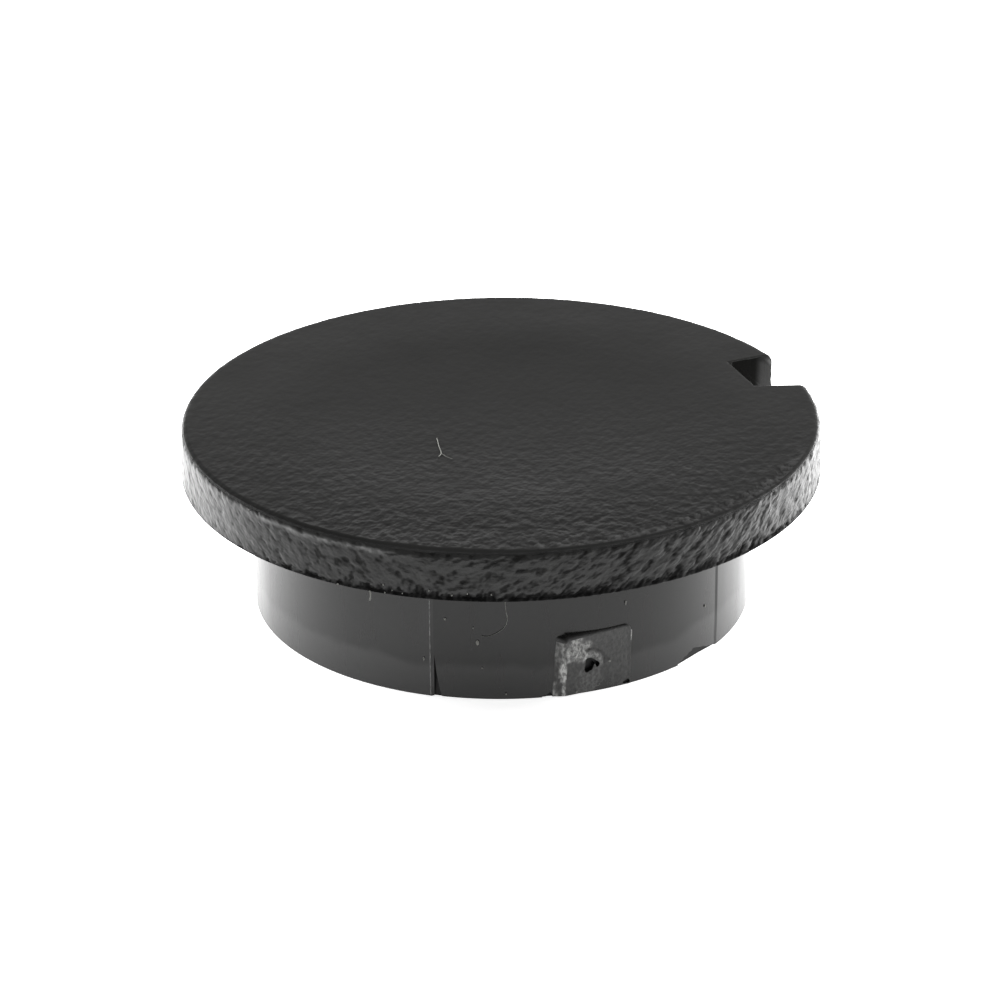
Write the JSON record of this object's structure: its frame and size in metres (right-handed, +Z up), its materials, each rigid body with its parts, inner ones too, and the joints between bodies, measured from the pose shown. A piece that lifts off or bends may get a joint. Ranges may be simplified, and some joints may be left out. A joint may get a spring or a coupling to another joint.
{
  "type": "rubber plug",
  "caption": "Round black rubber plug: a thin grained flange with a dished top and a pry notch, over a short hollow skirt that goes into a hole and closes it.",
  "frame": {"origin": "centre of the skirt's foot, on the surface that the plug stands on", "axes": "+Z up the plug's axis towards the flange, +X towards the pry notch, -Y towards the gate pad"},
  "size_m": [0.0319, 0.032, 0.0095],
  "materials": {
    "rubber": "moulded black rubber, leather grain on top and rim, plain semi-gloss skirt"
  },
  "bodies": {
    "root": {"plug": "rubber"}
  },
  "joints": []
}
